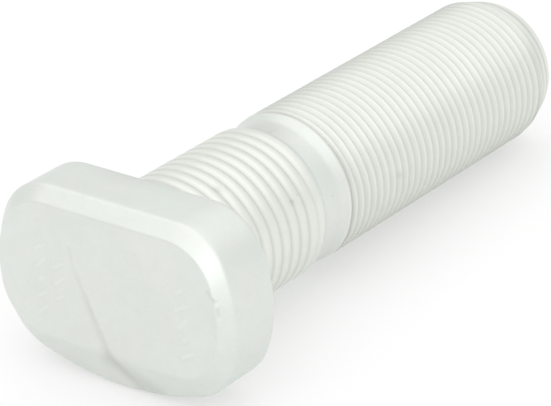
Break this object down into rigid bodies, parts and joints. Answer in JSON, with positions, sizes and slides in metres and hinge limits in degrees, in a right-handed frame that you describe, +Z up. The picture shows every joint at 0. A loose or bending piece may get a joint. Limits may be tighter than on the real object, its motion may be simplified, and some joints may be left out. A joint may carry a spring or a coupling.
{
  "type": "wheel bolt",
  "caption": "Wheel bolt with a flat-sided oblong head, a short grooved seat by the head, a plain neck and a long fine-threaded shank with a tapered tip.",
  "frame": {"origin": "on the surface that the bolt lies on, under the middle of its box", "axes": "+X along the bolt from head to tip, +Y along the head, +Z up"},
  "size_m": [0.0924, 0.039, 0.0267],
  "materials": {
    "zinc_coated_steel": "matte pale zinc coating on forged steel"
  },
  "bodies": {
    "root": {"wheel_bolt": "zinc_coated_steel"}
  },
  "joints": []
}
